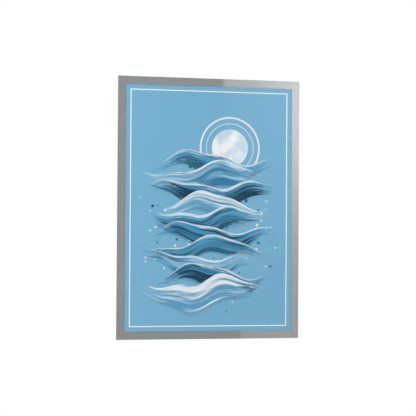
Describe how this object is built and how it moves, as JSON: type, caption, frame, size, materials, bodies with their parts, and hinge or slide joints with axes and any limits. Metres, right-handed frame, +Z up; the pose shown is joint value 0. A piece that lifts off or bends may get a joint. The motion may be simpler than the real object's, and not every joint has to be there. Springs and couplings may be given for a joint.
{
  "type": "poster frame",
  "caption": "Flat wall frame for an A1 sheet, held by an adhesive back; its silver-bordered clear front leaf folds open at the left edge and closes on magnet strips.",
  "frame": {"origin": "centre of the adhesive plane that meets the wall", "axes": "+X to the right as seen by someone who reads the poster, +Y into the wall, +Z up along the long side"},
  "size_m": [0.64, 0.0028, 0.887],
  "materials": {
    "adhesive": "satin",
    "clear_film": "gloss",
    "silver_film": "satin",
    "magnet_foil": "matte",
    "spacer_plastic": "matte",
    "printed_paper": "satin"
  },
  "bodies": {
    "back": {"adhesive_ring": "adhesive", "back_film": "clear_film", "back_cover": "silver_film", "back_magnet_top": "magnet_foil", "back_magnet_bottom": "magnet_foil", "back_magnet_left": "magnet_foil", "back_magnet_right": "magnet_foil", "poster_sheet": "printed_paper", "hinge_spacer": "spacer_plastic", "hinge_margin_cover": "silver_film", "hinge_margin_film": "clear_film"},
    "leaf": {"leaf_magnet_top": "magnet_foil", "leaf_magnet_bottom": "magnet_foil", "leaf_magnet_left": "magnet_foil", "leaf_magnet_right": "magnet_foil", "front_cover": "silver_film", "window_film": "clear_film"}
  },
  "joints": [
    {"name": "leaf_hinge", "type": "hinge", "parent": "back", "child": "leaf", "pos_m": [-0.314, -0.0028, 0], "axis": [0, 0, -1], "range_deg": [0, 180]}
  ]
}
